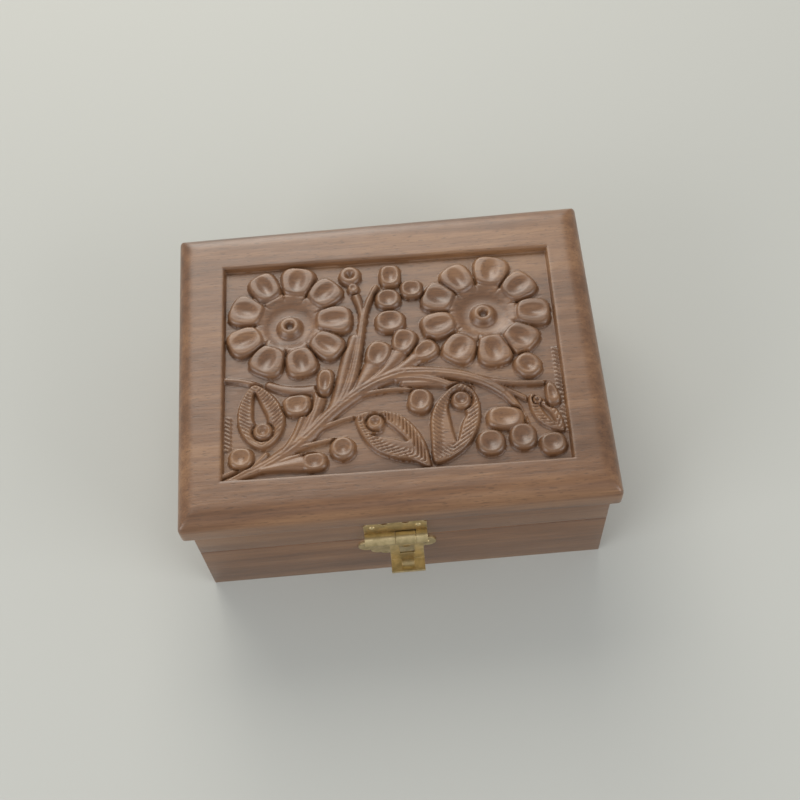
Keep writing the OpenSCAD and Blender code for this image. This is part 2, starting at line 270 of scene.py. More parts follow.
@dataclass(frozen=True)
class LacqueredHardwood:
    """Dark streaky rosewood-like hardwood, planed or carved, under a few coats of clear lacquer.

    The lacquer gives a soft sheen over open pores. A carved piece gets painted shade in its hollows.
    Clear polyester lacquer has an IOR between about 1.54 and 1.58. Wood fibre is close to that, so
    that under the lacquer the wood itself hardly glints.
    """

    dark: str = "#50341f"
    middle: str = "#704d32"
    light: str = "#8b6646"
    pore: str = "#3a2517"
    # hollow is painted shade, mixed in where a carved place lies below its surroundings
    hollow: str = "#4c321f"
    worn: str = "#937250"
    roughness: float = 0.46
    roughness_spread: float = 0.08
    ior: float = 1.5
    specular: float = 0.12
    coat: float = 1.0
    coat_roughness: float = 0.38
    coat_ior: float = 1.58
    # Sizes along and across the grain of the log's figure, its colour streaks, its fibres, its
    # open pores, drawn coarser than real so that they show, and the lacquer's waves
    figure_mm: tuple[float, float] = (130.0, 13.0)
    streak_mm: tuple[float, float] = (46.0, 2.1)
    fibre_mm: tuple[float, float] = (10.0, 0.55)
    pore_mm: tuple[float, float] = (3.2, 0.4)
    wave_mm: tuple[float, float] = (11.0, 4.5)
    # The board is sawn flat, so its growth rings lie wide across it and close through its thickness
    ring_stretch: tuple[float, float] = (1.45, 0.7)
    # The tone is the figure with these shares of streaks and fibres added, taken over tone_range
    streak_share: float = 0.75
    fibre_share: float = 0.45
    tone_range: tuple[float, float] = (0.65, 1.55)
    # Pores lie where their noise is past pore_edge. They darken the wood by pore_shade, and lower
    # the height of the fibres by pore_sink times that
    pore_edge: tuple[float, float] = (0.60, 0.70)
    pore_shade: float = 0.45
    pore_sink: float = 0.8
    # Depth of the grain's grooves, and height of the lacquer's waves, in millimetres
    groove_mm: float = 0.07
    wave_height_mm: float = 0.2
    # How far below or above its surroundings a place has to lie for its colour to come in and to
    # be full, in millimetres, and how much of that colour it then gets. Below, the colour is painted
    # shade in the hollows; above, it is wear on the ridges
    painted_shade_reach: tuple[float, float] = (0.15, 1.5)
    painted_shade_share: float = 0.1
    worn_reach: tuple[float, float] = (-0.15, -0.9)
    worn_share: float = 0.14

    def material(self, name: str, grain: Grain, shift: tuple[float, float, float],
                 carved: bool = False) -> bpy.types.Material:
        """Make the wood of one board.

        Args:
            name: the material's name.
            grain: which way the fibres run.
            shift: where in the log the board was cut, in millimetres.
            carved: whether the piece has a "cavity" attribute, by which its hollows get painted shade
                and its ridges wear.

        Returns:
            The material.
        """
        mat, shader, where = start_material(name)
        tree = mat.node_tree
        in_log = add_node(tree, "ShaderNodeMapping", {
            "Vector": where, "Scale": (1 / MM,) * 3, "Rotation": (0, 0, grain.value), "Location": shift,
        }).outputs["Vector"]
        noise: dict[str, bpy.types.NodeSocket] = {}
        for part, (along, across), detail in (
                ("figure", self.figure_mm, 2.0), ("streaks", self.streak_mm, 3.0),
                ("fibres", self.fibre_mm, 2.0), ("pores", self.pore_mm, 1.0),
                ("waves", self.wave_mm, 2.0)):
            wide, thick = (across * stretch for stretch in self.ring_stretch)
            cells = add_node(tree, "ShaderNodeVectorMath", {
                0: in_log, 1: (1 / along, 1 / wide, 1 / thick)}, operation="MULTIPLY").outputs[0]
            noise[part] = add_node(tree, "ShaderNodeTexNoise", {
                "Vector": cells, "Scale": 1.0, "Detail": detail, "Roughness": 0.6}).outputs["Fac"]
        tone = noise["figure"]
        for part, share in (("streaks", self.streak_share), ("fibres", self.fibre_share)):
            tone = add_node(tree, "ShaderNodeMath", {
                0: noise[part], 1: share, 2: tone}, operation="MULTIPLY_ADD").outputs[0]
        tone = add_node(tree, "ShaderNodeMapRange", {
            "Value": tone, "From Min": self.tone_range[0], "From Max": self.tone_range[1],
        }).outputs["Result"]
        colour = add_node(tree, "ShaderNodeValToRGB", {"Fac": tone}, stops=[
            (0.12, linear(self.dark)), (0.5, linear(self.middle)), (0.88, linear(self.light)),
        ]).outputs["Color"]
        pores = add_node(tree, "ShaderNodeMapRange", {
            "Value": noise["pores"], "From Min": self.pore_edge[0], "From Max": self.pore_edge[1],
            "To Max": self.pore_shade,
        }).outputs["Result"]
        shades = [(pores, self.pore)]
        if carved:
            cavity = add_node(tree, "ShaderNodeAttribute", attribute_name="cavity").outputs["Fac"]
            # Painted shade where a place lies below its surroundings, and wear where it stands above
            # them
            for reach, share, shade in ((self.painted_shade_reach, self.painted_shade_share, self.hollow),
                                        (self.worn_reach, self.worn_share, self.worn)):
                amount = add_node(tree, "ShaderNodeMapRange", {
                    "Value": cavity, "From Min": reach[0], "From Max": reach[1], "To Max": share,
                }).outputs["Result"]
                shades.append((amount, shade))
        for amount, shade in shades:
            colour = add_node(tree, "ShaderNodeMix", {0: amount, 6: colour, 7: linear(shade)},
                              data_type="RGBA").outputs[2]
        rough = add_node(tree, "ShaderNodeMapRange", {
            "Value": noise["fibres"], "To Min": self.roughness - self.roughness_spread,
            "To Max": self.roughness + self.roughness_spread,
        }).outputs["Result"]
        grooves = add_node(tree, "ShaderNodeMath", {
            0: pores, 1: -self.pore_sink, 2: noise["fibres"]}, operation="MULTIPLY_ADD").outputs[0]
        grooved = add_node(tree, "ShaderNodeBump", {
            "Height": grooves, "Strength": 0.5, "Distance": self.groove_mm * MM}).outputs["Normal"]
        waved = add_node(tree, "ShaderNodeBump", {
            "Height": noise["waves"], "Strength": 0.5, "Distance": self.wave_height_mm * MM,
            "Normal": grooved,
        }).outputs["Normal"]
        feed(tree, shader, {
            "Base Color": colour, "Roughness": rough, "Normal": grooved,
            "IOR": self.ior, "Specular IOR Level": self.specular,
            "Coat Weight": self.coat, "Coat Roughness": self.coat_roughness,
            "Coat IOR": self.coat_ior, "Coat Normal": waved,
        })
        return mat


@dataclass(frozen=True)
class Brass:
    """Common yellow brass, rolled or drawn, dulled by handling.

    Brass keeps a warm metallic glint; tarnish makes it browner and rougher in soft patches.
    """

    bright: str = "#d8c498"
    dull: str = "#b5a37b"
    roughness: float = 0.4
    # Tarnish adds to the roughness, and rubbing takes a little of it away
    tarnished: float = 0.14
    rubbed: float = 0.06
    patch_mm: float = 3.0
    # Width of the fine scratches, that width as a share of their length, and their depth
    scratch_mm: float = 0.25
    scratch_stretch: float = 0.06
    scratch_depth_mm: float = 0.02

    def material(self, name: str) -> bpy.types.Material:
        """Make the brass.

        Args:
            name: the material's name.

        Returns:
            The material.
        """
        mat, shader, where = start_material(name)
        tree = mat.node_tree
        patches = add_node(tree, "ShaderNodeTexNoise", {
            "Vector": where, "Scale": 1 / (self.patch_mm * MM), "Detail": 4.0}).outputs["Fac"]
        colour = add_node(tree, "ShaderNodeValToRGB", {"Fac": patches}, stops=[
            (0.35, linear(self.dull)), (0.62, linear(self.bright))]).outputs["Color"]
        along = add_node(tree, "ShaderNodeMapping", {
            "Vector": where, "Scale": (self.scratch_stretch, 1.0, 1.0)}).outputs["Vector"]
        scratches = add_node(tree, "ShaderNodeTexNoise", {
            "Vector": along, "Scale": 1 / (self.scratch_mm * MM), "Detail": 3.0}).outputs["Fac"]
        rough = add_node(tree, "ShaderNodeMapRange", {
            "Value": patches, "From Min": 0.3, "From Max": 0.7,
            "To Min": self.roughness + self.tarnished, "To Max": self.roughness - self.rubbed,
        }).outputs["Result"]
        bump = add_node(tree, "ShaderNodeBump", {
            "Height": scratches, "Strength": 0.35, "Distance": self.scratch_depth_mm * MM,
        }).outputs["Normal"]
        feed(tree, shader, {"Base Color": colour, "Roughness": rough, "Normal": bump, "Metallic": 1.0})
        return mat


@dataclass(frozen=True)
class Paper:
    """Matt pale paper of a plain studio floor."""

    colour: str = "#b9bab6"
    roughness: float = 0.9
    flecks_per_metre: float = 900.0
    fleck_height_mm: float = 0.05

    def material(self) -> bpy.types.Material:
        """Make the floor's material."""
        mat, shader, where = start_material("floor_paper")
        tree = mat.node_tree
        fleck = add_node(tree, "ShaderNodeTexNoise", {
            "Vector": where, "Scale": self.flecks_per_metre, "Detail": 3.0}).outputs["Fac"]
        bump = add_node(tree, "ShaderNodeBump", {
            "Height": fleck, "Strength": 0.1, "Distance": self.fleck_height_mm * MM}).outputs["Normal"]
        feed(tree, shader, {
            "Base Color": linear(self.colour), "Roughness": self.roughness, "Normal": bump})
        return mat


# Carving


@dataclass(frozen=True)
class Lobe:
    """A squarish rounded lobe with a spoon-shaped hollow, as a gouge cuts a petal or a bud.

    Sizes are half widths across and along its own axis, which is turned left from +Y by turn.
    """

    x: float
    y: float
    across: float
    along: float
    turn: float = 0.0
    taper: float = 0.0
    square: float = 2.5
    hollow: tuple[float, float] = (0.72, 0.82)
    depth: float = 1.2
    rise: float = 2.7


@dataclass(frozen=True)
class Flower:
    """A flower: its drilled boss, and petals round a ring of their own."""

    boss: tuple[float, float]
    ring: tuple[float, float]
    petals: tuple[Lobe, ...]


@dataclass(frozen=True)
class Strand:
    """One strand of a stem: four steering points of a curve, and its width at both ends.

    A wide strand is cut into reeds that run along it.
    """

    path: tuple[tuple[float, float], ...]
    width: tuple[float, float]
    rise: float = 2.3
    reeds: int = 1


@dataclass(frozen=True)
class Leaf:
    """A leaf with a hatched rim, a sunk slot and a small ring bud at the slot's foot.

    The outline and the slot are closed curves through a few points, and the vein is the line from
    which the hatching slants away on both sides.
    """

    outline: tuple[tuple[float, float], ...]
    slot: tuple[tuple[float, float], ...]
    vein: tuple[tuple[float, float], tuple[float, float]]
    bud: tuple[float, float, float]
    rise: float = 2.5
    hatch_pitch: float = 1.5


@dataclass(frozen=True)
class Notches:
    """A narrow strip along a wall of the panel, cut into teeth: its box, low to high."""

    low: tuple[float, float]
    high: tuple[float, float]
    rise: float = 0.8
    pitch: float = 1.6


def radial(ring: tuple[float, float], *petals: tuple[float, float, float, float]) -> tuple[Lobe, ...]:
    """Petals round a ring, each turned to point away from the ring's middle.

    Args:
        ring: the ring's middle.
        petals: place, and half width across and along, of each petal.

    Returns:
        The petals, drawn 5% wider than given.
    """
    return tuple(
        Lobe(x, y, 1.05 * across, along, math.degrees(math.atan2(y - ring[1], x - ring[0])) - 90,
             taper=0.08, square=2.9, hollow=(0.54, 0.82))
        for x, y, across, along in petals)


@dataclass
class Carving:
    """The flowers, buds, leaves and stems left standing on the sunk ground of the panel.

    Places are in millimetres from the middle of the panel. Heights are worked out from the ground
    up, and then lowered by ground_cut, so that the lid's flat border is at zero.
    """

    # The size of the panel that the places below are drawn for
    layout: tuple[float, float] = (118.0, 86.0)
    ground_cut: float = 3.0
    # The highest that a form comes up to, against the border
    highest: float = -0.25
    # Waves of the gouged ground: their height, their size and the seed of each
    ground_waves: tuple[tuple[float, float, int], ...] = ((0.2, 6.0, 3), (0.12, 2.4, 4))
    # The difference in height over which the crease beside a strand or a stalk is filled
    strand_melt: float = 0.15
    stalk_melt: float = 0.3
    # A flower's boss: radius of its foot, radius where its crown starts to fall, and its height.
    # Its drilled eye: radius, rounding of its lip inwards and outwards, and depth
    boss_radius: float = 5.2
    boss_crown: float = 2.8
    boss_rise: float = 2.35
    eye_radius: float = 1.5
    eye_lip: tuple[float, float] = (0.5, 0.45)
    eye_depth: float = 1.9
    # The dish round the boss: height and width of its foot, its climb, its waves, and how far out
    # it reaches. Stems that stand higher than the dish are kept only past stems_end
    foot_rise: float = 0.35
    foot_width: float = 4.5
    dish_rise: float = 1.55
    dish_climb: tuple[float, float] = (4.0, 13.5)
    dish_waves: tuple[float, float, int] = (0.05, 1.6, 12)
    dish_radius: float = 17.0
    stems_end: float = 15.5
    # The V between two petals: its depth, its half width where it is shallowest and what it gains
    # where it is deepest, and where it comes in and goes out on the way outwards
    cut_depth: float = 1.3
    cut_width: tuple[float, float] = (0.3, 0.35)
    cut_start: tuple[float, float] = (8.5, 14.5)
    cut_end: tuple[float, float] = (20.0, 23.0)
    # A lobe: width of its rounded shoulder, drop from its middle to its rim, width of the groove
    # round it, and how far inside its rim what it stands on fades out. Round a petal the groove
    # comes in over petal_groove on the way outwards
    shoulder: float = 1.4
    crown_drop: float = 0.25
    groove_width: float = 0.8
    fade_inside: tuple[float, float] = (0.6, 2.5)
    petal_groove: tuple[float, float] = (11.0, 15.0)
    # A strand: the straight lines that its curve is followed by, and depth and half width of the
    # cuts between its reeds
    curve_steps: int = 28
    reed_depth: float = 0.3
    reed_cut: float = 0.5
    # A leaf: width of its rounded edge, fall for each millimetre inwards, depth of the hatching
    # and where it comes in and goes out on the way inwards, height of the slot's floor, where the
    # slot's wall starts and ends, and the hollow and the moat of its ring bud
    leaf_edge: float = 1.1
    leaf_fall: float = 0.16
    hatch_depth: float = 0.5
    hatch_start: tuple[float, float] = (0.7, 1.3)
    hatch_end: tuple[float, float] = (3.6, 4.8)
    slot_floor: float = 0.35
    slot_wall: tuple[float, float] = (-0.35, 0.75)
    ring_hollow: float = 1.3
    moat_share: float = 0.7
    flowers: tuple[Flower, ...] = (
        Flower((-35.5, 16.8), (-35.6, 18.6), radial(
            (-35.6, 18.6), (-44.3, 34.4, 5.3, 6.4), (-32.4, 36.0, 6.3, 6.3), (-22.6, 30.2, 5.8, 6.2),
            (-19.6, 18.5, 5.8, 6.8), (-22.4, 8.2, 5.3, 6.4), (-31.6, 1.8, 5.5, 6.1),
            (-43.4, 3.2, 6.1, 6.3), (-51.4, 11.9, 5.7, 6.6), (-51.0, 24.6, 6.3, 6.4))),
        Flower((33.8, 16.5), (33.9, 17.6), radial(
            (33.9, 17.6), (25.7, 32.3, 5.6, 6.5), (37.9, 34.8, 6.4, 6.6), (47.4, 27.4, 5.8, 6.3),
            (51.6, 16.2, 5.7, 6.4), (46.2, 5.9, 6.2, 6.2), (36.4, 1.4, 6.0, 6.6),
            (24.4, 3.0, 5.8, 6.2), (17.6, 13.2, 5.4, 6.4), (18.3, 24.9, 6.2, 6.0))),
    )
    buds: tuple[Lobe, ...] = (
        Lobe(-13.2, 37.0, 4.3, 4.3, 0, 0, 2, (0.5, 0.5), 1.9),
        Lobe(-12.2, 31.4, 2.3, 2.5, 10, 0, 2, depth=0.7),
        Lobe(1.4, 35.8, 4.1, 5.0, 0, 0, 3.2), Lobe(8.9, 29.5, 4.4, 4.0, 0, 0, 2.8),
        Lobe(0.2, 25.8, 4.8, 4.4), Lobe(0.5, 16.2, 5.7, 4.9), Lobe(-4.4, 2.8, 4.7, 5.8, -20, 0.1),
        Lobe(4.9, 7.4, 4.5, 5.6, -20, 0.15), Lobe(12.2, 3.0, 3.9, 5.2, -54, 0.2),
        Lobe(-23.4, -6.8, 3.1, 5.6, -6, 0.1, 2.6), Lobe(-33.3, -15.6, 5.1, 4.3, 4, 0.12, 3.0),
        Lobe(-52.7, -34.6, 4.4, 4.1), Lobe(-27.8, -37.8, 4.6, 3.6, 3, 0, 3.2),
        Lobe(-18.0, -33.4, 4.6, 4.7, 0, 0, 2, (0.62, 0.66)), Lobe(9.2, -17.0, 4.4, 5.0, -12),
        Lobe(37.8, -25.9, 6.6, 4.6, -6, 0, 2.8, depth=1.1),
        Lobe(32.2, -34.9, 5.0, 5.0, 0, 0, 2.3, depth=1.1),
        Lobe(43.2, -33.4, 4.8, 5.2, 0, 0, 2.3, depth=1.1), Lobe(53.0, -36.8, 4.7, 4.3, 10, depth=1.1),
        Lobe(47.6, -5.6, 4.9, 5.2, 35, 0, 2.3, (0.6, 0.66), 1.3),
        Lobe(54.7, -17.4, 2.5, 4.9, 8, -0.3, depth=0.8),
    )
    leaves: tuple[Leaf, ...] = (
        Leaf(((-48.2, -6.2), (-52.8, -12.0), (-54.2, -20.5), (-51.2, -28.0), (-45.2, -31.8),
              (-39.4, -27.2), (-37.5, -19.0), (-41.8, -10.6)),
             ((-48.2, -9.0), (-49.0, -15.5), (-48.2, -21.5), (-43.4, -21.0), (-45.4, -14.5)),
             ((-47.6, -6.0), (-45.2, -32.0)), (-45.2, -24.9, 3.6)),
        Leaf(((-13.2, -21.4), (-11.6, -28.8), (-7.0, -35.2), (-0.4, -38.6), (5.6, -40.0),
              (11.2, -42.8), (10.6, -35.0), (7.4, -27.6), (1.8, -21.6), (-5.8, -19.6)),
             ((-8.6, -29.0), (-4.8, -27.4), (-2.6, -24.4), (4.2, -32.2), (-2.4, -30.6)),
             ((-12.0, -23.0), (11.5, -42.0)), (-6.6, -24.3, 3.2)),
        Leaf(((12.8, -41.2), (12.0, -31.0), (12.8, -22.0), (17.0, -15.2), (23.2, -11.2),
              (28.4, -15.0), (29.8, -22.8), (27.2, -31.6), (21.4, -38.2)),
             ((18.8, -18.6), (19.0, -26.0), (20.8, -34.0), (23.2, -27.0), (24.8, -22.6)),
             ((20.6, -12.0), (19.0, -40.5)), (23.4, -17.8, 3.7)),
        Leaf(((47.2, -17.0), (46.6, -23.0), (50.0, -29.2), (57.0, -32.6), (57.2, -27.0), (53.4, -20.6)),
             ((49.6, -20.8), (51.4, -25.4), (54.8, -29.4), (53.6, -24.6)),
             ((47.0, -17.0), (57.2, -32.6)), (49.4, -19.6, 1.7), 2.0),
    )
    strands: tuple[Strand, ...] = (
        Strand(((-57.5, -43.2), (-47, -39.8), (-38, -34.8), (-29, -26.5)), (2.6, 6.2), reeds=2),
        Strand(((-31, -28.5), (-25.5, -23.5), (-22, -18.5), (-12, -12)), (5.2, 5.2), 2.5, 2),
        Strand(((-15, -13.8), (-9, -9.6), (-4, -6.8), (4, -5.2)), (5.4, 5.4), 2.5, 2),
        Strand(((-59, -41.0), (-56, -39.8), (-53.5, -38.3), (-50.8, -37.2)), (2.0, 1.6), 2.0),
        Strand(((-57, -43.0), (-51, -40.2), (-47.5, -37.6), (-44.2, -33.8)), (2.0, 2.2)),
        Strand(((-39, -34), (-34.5, -30), (-32, -23.5), (-29.6, -13)), (3.4, 2.4)),
        Strand(((-33, -30), (-28.8, -23.5), (-26.6, -17), (-25, -10.5)), (4.8, 5.2), reeds=2),
        Strand(((-22, -20), (-17.4, -12), (-17.8, -3), (-12.5, 10)), (4.2, 4.6), 2.35),
        Strand(((-19, -17), (-13.5, -9), (-11.8, 2), (-9.2, 19)), (5.0, 3.0), 2.5, 2),
        Strand(((-9.4, 17), (-9.2, 23), (-11, 27), (-12.4, 31.5)), (2.6, 3.6)),
        Strand(((-9.0, 17), (-8.6, 22), (-6.8, 26.5), (-4.0, 31.5)), (2.6, 2.6)),
        Strand(((3, -5.2), (18, -4.9), (31, -8.2), (38, -15.6)), (5.2, 3.6), 2.5, 2),
        Strand(((37.2, -14.4), (41, -18.6), (43.4, -23), (44.8, -28)), (3.6, 2.2)),
        Strand(((30, -9.4), (36, -11.8), (44, -12.8), (54, -12.8)), (3.2, 2.0), 2.0),
        Strand(((36.5, -13.5), (41, -15.5), (46, -19), (51, -21.5)), (2.6, 1.8), 1.9),
        Strand(((2, -7.4), (10, -7.0), (16, -8.8), (21.5, -12.5)), (3.8, 3.6), reeds=2),
        Strand(((4, -9.6), (12, -9.8), (20, -10.4), (26.5, -13)), (3.2, 3.4), 1.9),
        Strand(((-14, -14.2), (-6, -11.2), (2, -10.8), (9.2, -13)), (2.2, 1.6), 1.9),
        Strand(((-26.5, -25.6), (-22, -23.4), (-17.5, -21.8), (-12.6, -21.4)), (2.3, 1.5), 1.9),
        Strand(((-38, -34.6), (-32, -31.0), (-27, -30.6), (-17, -29.0)), (2.8, 1.6), 2.0),
        Strand(((-43, -38.6), (-37.5, -36), (-33, -34.6), (-27, -34.4)), (2.8, 1.9), 2.0),
        Strand(((-59, -3.2), (-54, -3.6), (-50, -4.6), (-46, -7)), (2.4, 2.6), 1.5),
        Strand(((-43, -6.5), (-38, -9), (-33, -10.2), (-27, -9.5)), (3.4, 4.8), 1.3),
    )
    # Stalks that swell into a bud without a cut between them
    stalks: tuple[Strand, ...] = (
        Strand(((-13, -12), (-10.5, -8), (-8.4, -5), (-6.6, -2.2)), (3.0, 7.2), 2.4),
        Strand(((-7, -7.6), (-2.5, -5), (0.3, -1.5), (2.6, 2.2)), (2.4, 6.4), 2.4),
        Strand(((-1, -5.6), (3, -4), (6, -2), (8.6, 0.2)), (2.6, 5.6), 2.4),
        Strand(((-46, -39.8), (-40, -38.8), (-36, -38.4), (-32.2, -38)), (1.8, 6.4), 2.4),
    )
    notches: tuple[Notches, ...] = (
        Notches((56.4, -33.0), (60.0, 2.0)), Notches((-60.0, -31.5), (-55.8, -17.5)),
    )

    def heights(self, x: np.ndarray, y: np.ndarray) -> np.ndarray:
        """Work out the carved surface.

        Every form is a height above the ground. Where forms meet the higher one wins, and lobes
        also clear a narrow groove round themselves, which is what draws their outline.

        Args:
            x, y: places on the panel, in millimetres from its middle.

        Returns:
            Heights below the border, all negative.
        """
        top = sum(rise * noise_field(x, y, size, seed) for rise, size, seed in self.ground_waves)
        for strip in self.notches:
            top = np.maximum(top, self.teeth(strip, x, y))
        for strand in self.strands:
            top = melted(top, self.ridge(strand, x, y), self.strand_melt)
        for leaf in self.leaves:
            top = self.blade(leaf, x, y, top)
        for flower in self.flowers:
            top = self.flower(flower, x, y, top)
        top = self.lobes(self.buds, x, y, top, np.ones_like(x))
        for stalk in self.stalks:
            top = melted(top, self.ridge(stalk, x, y), self.stalk_melt)
        return np.minimum(top - self.ground_cut, self.highest)

    def flower(self, flower: Flower, x: np.ndarray, y: np.ndarray, top: np.ndarray) -> np.ndarray:
        """Cut one flower: a dished middle, petals with cuts between them, and the boss.

        The middle climbs from the boss to the petals by a cubic ease. Between each two petals a
        V runs inward, deepest between the petals and gone before it reaches the boss. The boss is
        a cone with an eased foot and shoulder, drilled with a round-lipped eye.

        Args:
            flower: the flower.
            x, y: places on the panel.
            top: heights so far.

        Returns:
            The new heights.
        """
        out = np.hypot(x - flower.ring[0], y - flower.ring[1])
        angle = np.arctan2(y - flower.ring[1], x - flower.ring[0])
        dish = self.foot_rise + self.dish_rise * smooth(*self.dish_climb, out)
        rise, size, seed = self.dish_waves
        dish = dish + rise * noise_field(x, y, size, seed)
        kept = top * (out > self.stems_end)
        top = np.where(out < self.dish_radius, np.maximum(dish, kept), top)
        top = self.lobes(flower.petals, x, y, top, smooth(*self.petal_groove, out))
        turns = [math.atan2(p.y - flower.ring[1], p.x - flower.ring[0]) for p in flower.petals]
        for one, other in zip(turns, turns[1:] + turns[:1]):
            middle = one + math.remainder(other - one, math.tau) / 2
            # The cut runs outwards only, so the other side of the ring counts as far away
            aside = np.abs(np.sin(angle - middle)) * out + 99 * (np.cos(angle - middle) < 0)
            reach = smooth(*self.cut_start, out) * (1 - smooth(*self.cut_end, out))
            width = self.cut_width[0] + self.cut_width[1] * reach
            top = top - self.cut_depth * reach * np.clip(1 - aside / width, 0, 1)
        r = np.hypot(x - flower.boss[0], y - flower.boss[1])
        cone = self.foot_rise + self.boss_rise * (1 - smooth(self.boss_crown, self.boss_radius, r))
        well = 1 - smooth(self.eye_radius - self.eye_lip[0], self.eye_radius + self.eye_lip[1], r)
        foot = 1 - smooth(0.0, self.foot_width, r - self.boss_radius)
        return np.where(r < self.boss_radius, cone - self.eye_depth * well,
                        top * (1 - foot) + self.foot_rise * foot)

    def lobes(self, lobes: tuple[Lobe, ...], x: np.ndarray, y: np.ndarray, top: np.ndarray,
              groove: np.ndarray) -> np.ndarray:
        """Raise a group of lobes and clear a groove round them.

        With r the distance in units of the lobe's own squarish oval, the shoulder is a quarter
        circle, the crown falls by crown_drop × r², and the hollow is the cosine of d quarter turns
        to the power 1.6, with d the distance in units of the hollow's oval.

        Args:
            lobes: the lobes.
            x, y: places on the panel.
            top: heights so far.
            groove: how deep the groove goes at each place, from 0 to 1.

        Returns:
            The new heights.
        """
        nearest = np.full_like(x, NOWHERE)
        raised = np.full_like(x, NOWHERE)
        for lobe in lobes:
            near = np.hypot(x - lobe.x, y - lobe.y) < 1.5 * max(lobe.across, lobe.along) + 2
            c, s = math.cos(math.radians(lobe.turn)), math.sin(math.radians(lobe.turn))
            dx, dy = x[near] - lobe.x, y[near] - lobe.y
            v = dy * c - dx * s
            u = (dx * c + dy * s) / (1 + lobe.taper * np.clip(v / lobe.along, -1, 1))
            k = lobe.square
            r = ((np.abs(u) / lobe.across) ** k + (np.abs(v) / lobe.along) ** k) ** (1 / k)
            inside = (1 - r) * min(lobe.across, lobe.along)
            shoulder = np.sqrt(1 - (1 - np.clip(inside / self.shoulder, 0, 1)) ** 2)
            d = np.hypot(u / (lobe.across * lobe.hollow[0]), v / (lobe.along * lobe.hollow[1]))
            body = (lobe.rise - self.crown_drop * np.minimum(r, 1) ** 2) * shoulder
            body -= lobe.depth * np.cos(np.minimum(d, 1) * math.pi / 2) ** 1.6
            raised[near] = np.maximum(raised[near], np.where(inside > 0, body, NOWHERE))
            nearest[near] = np.maximum(nearest[near], inside)
        cleared = top * (1 - groove * (1 - smooth(0.0, self.groove_width, -nearest)))
        under = top * (1 - smooth(*self.fade_inside, nearest)) * (1 - groove)
        return np.where(nearest > 0, np.maximum(raised, under), cleared)

    def ridge(self, strand: Strand, x: np.ndarray, y: np.ndarray) -> np.ndarray:
        """Height of a stem strand: a rounded ridge along a cubic curve.

        The curve is followed as short straight lines. The nearest of them gives how far along and
        how far to the side a place is, and the ridge is (1 − s²) to the power 0.45, with s the
        sideways share of its half width. Between each two reeds a V is cut.

        Args:
            strand: the strand.
            x, y: places on the panel.

        Returns:
            Heights above the ground.
        """
        t = np.linspace(0, 1, self.curve_steps + 1)[:, None]
        p = np.array(strand.path, dtype=float)
        u = 1 - t
        line = u ** 3 * p[0] + 3 * t * u ** 2 * p[1] + 3 * t ** 2 * u * p[2] + t ** 3 * p[3]
        near = within(line, max(strand.width), x, y)
        away, along = to_line(line, x[near], y[near])
        half = (strand.width[0] * (1 - along) + strand.width[1] * along) / 2
        share = np.minimum(away / half, 1)
        reed = strand.reeds * (share + 1) / 2
        to_cut = np.abs(reed - np.round(reed)) * 2 * half / strand.reeds
        inner = share < 1 - 1 / strand.reeds + 0.2
        out = np.zeros_like(x)
        cuts = self.reed_depth * inner * np.clip(1 - to_cut / self.reed_cut, 0, 1)
        out[near] = strand.rise * (1 - share ** 2) ** 0.45 - cuts
        return np.maximum(out, 0)

    def blade(self, leaf: Leaf, x: np.ndarray, y: np.ndarray, top: np.ndarray) -> np.ndarray:
        """Raise a leaf, hatch its rim, sink its slot and set its ring bud.

        The blade is highest 1.5 mm in from its outline and falls away towards the slot. The
        hatching is a saw wave of lines that slant away from the vein on both sides.

        Args:
            leaf: the leaf.
            x, y: places on the panel.
            top: heights so far.

        Returns:
            The new heights.
        """
        outline, slot = closed_curve(leaf.outline), closed_curve(leaf.slot)
        near = within(outline, 3.0, x, y)
        px, py = x[near], y[near]
        inside, sunk = inwards(outline, px, py), inwards(slot, px, py)
        u, v = along_line(*leaf.vein, px, py)
        plate = leaf.rise * np.sqrt(1 - (1 - np.clip(inside / self.leaf_edge, 0, 1)) ** 2)
        plate -= self.leaf_fall * np.clip(inside - 1.5, 0, 3)
        slant = (u + 0.75 * np.abs(v)) / leaf.hatch_pitch
        saw = 2 * np.abs(slant - np.floor(slant) - 0.5)
        band = (smooth(*self.hatch_start, inside) * smooth(0.2, 0.9, -sunk)
                * (1 - smooth(*self.hatch_end, inside)))
        plate -= self.hatch_depth * band * np.clip(1.25 - 2.1 * saw, 0, 1)
        plate -= (leaf.rise - self.slot_floor) * smooth(*self.slot_wall, sunk)
        bx, by, radius = leaf.bud
        r = np.hypot(px - bx, py - by) / radius
        knob = (leaf.rise + 0.15) * np.clip(1 - r ** 4, 0, 1) ** 0.5
        knob -= self.ring_hollow * np.clip(1 - (r / 0.58) ** 2, 0, 1)
        moat = 1 - smooth(0.0, 0.25, r - 1)
        plate = np.where(r < 1, knob, plate * (1 - self.moat_share * moat))
        cleared = top[near] * smooth(0.0, self.leaf_edge, -inside)
        out = top.copy()
        out[near] = np.where(inside > 0, np.maximum(plate, 0.05), cleared)
        return out

    def teeth(self, strip: Notches, x: np.ndarray, y: np.ndarray) -> np.ndarray:
        """Height of a notched strip: a low bank with a saw wave of slanted cuts along it.

        Args:
            strip: the strip.
            x, y: places on the panel.

        Returns:
            Heights above the ground.
        """
        inside = np.minimum(np.minimum(x - strip.low[0], strip.high[0] - x),
                            np.minimum(y - strip.low[1], strip.high[1] - y))
        slant = (y + 0.6 * x) / strip.pitch
        saw = 2 * np.abs(slant - np.floor(slant) - 0.5)
        return strip.rise * smooth(0, 0.8, inside) * (0.35 + 0.65 * smooth(0.15, 0.75, saw))


def melted(one: np.ndarray, other: np.ndarray, reach: float) -> np.ndarray:
    """The higher of two heights, with the crease filled where they differ by less than reach."""
    share = np.clip(1 - np.abs(one - other) / reach, 0, 1)
    return np.maximum(one, other) + reach * share ** 2 / 4


